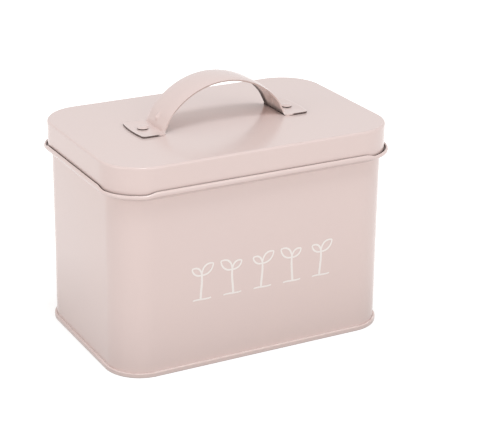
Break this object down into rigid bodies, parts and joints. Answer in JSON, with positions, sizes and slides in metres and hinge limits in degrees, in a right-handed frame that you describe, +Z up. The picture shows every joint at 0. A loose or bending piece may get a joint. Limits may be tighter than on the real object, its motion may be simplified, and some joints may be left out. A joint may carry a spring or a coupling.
{
  "type": "seed organizer box",
  "caption": "Rounded steel storage tin with a rolled rim, lift-off lid, riveted strap handle and sliding divider cards for seed packets.",
  "frame": {"origin": "centre of the tin's footprint, on the surface that it stands on", "axes": "+X along the width to the right, -Y out of the front face, +Z up through the lid and handle"},
  "size_m": [0.166, 0.1104, 0.1387],
  "materials": {
    "enamel": "glossy pale pink baked enamel on thin steel sheet",
    "rivet_enamel": "same pale pink enamel over the steel rivets",
    "card_stock": "uncoated cream card stock with printed tab numbers"
  },
  "bodies": {
    "tin": {"body_shell": "enamel", "base_panel": "enamel"},
    "lid": {"lid": "enamel", "handle": "enamel", "rivet_left": "rivet_enamel", "rivet_right": "rivet_enamel"},
    "card_01": {"divider_card_01": "card_stock"},
    "card_02": {"divider_card_02": "card_stock"},
    "card_03": {"divider_card_03": "card_stock"},
    "card_04": {"divider_card_04": "card_stock"},
    "card_05": {"divider_card_05": "card_stock"},
    "card_06": {"divider_card_06": "card_stock"},
    "card_07": {"divider_card_07": "card_stock"},
    "card_08": {"divider_card_08": "card_stock"},
    "card_09": {"divider_card_09": "card_stock"},
    "card_10": {"divider_card_10": "card_stock"},
    "card_11": {"divider_card_11": "card_stock"},
    "card_12": {"divider_card_12": "card_stock"}
  },
  "joints": [
    {"name": "lid_lift", "type": "slide", "parent": "tin", "child": "lid", "axis": [0, 0, 1], "range_m": [0, 0.12]},
    {"name": "card_01_shift", "type": "slide", "parent": "tin", "child": "card_01", "axis": [0, 1, 0], "range_m": [-0.0059, 0.0059]},
    {"name": "card_02_shift", "type": "slide", "parent": "tin", "child": "card_02", "axis": [0, 1, 0], "range_m": [-0.0059, 0.0059]},
    {"name": "card_03_shift", "type": "slide", "parent": "tin", "child": "card_03", "axis": [0, 1, 0], "range_m": [-0.0059, 0.0059]},
    {"name": "card_04_shift", "type": "slide", "parent": "tin", "child": "card_04", "axis": [0, 1, 0], "range_m": [-0.0059, 0.0059]},
    {"name": "card_05_shift", "type": "slide", "parent": "tin", "child": "card_05", "axis": [0, 1, 0], "range_m": [-0.0059, 0.0059]},
    {"name": "card_06_shift", "type": "slide", "parent": "tin", "child": "card_06", "axis": [0, 1, 0], "range_m": [-0.0059, 0.0059]},
    {"name": "card_07_shift", "type": "slide", "parent": "tin", "child": "card_07", "axis": [0, 1, 0], "range_m": [-0.0059, 0.0059]},
    {"name": "card_08_shift", "type": "slide", "parent": "tin", "child": "card_08", "axis": [0, 1, 0], "range_m": [-0.0059, 0.0059]},
    {"name": "card_09_shift", "type": "slide", "parent": "tin", "child": "card_09", "axis": [0, 1, 0], "range_m": [-0.0059, 0.0059]},
    {"name": "card_10_shift", "type": "slide", "parent": "tin", "child": "card_10", "axis": [0, 1, 0], "range_m": [-0.0059, 0.0059]},
    {"name": "card_11_shift", "type": "slide", "parent": "tin", "child": "card_11", "axis": [0, 1, 0], "range_m": [-0.0059, 0.0059]},
    {"name": "card_12_shift", "type": "slide", "parent": "tin", "child": "card_12", "axis": [0, 1, 0], "range_m": [-0.0059, 0.0059]}
  ]
}
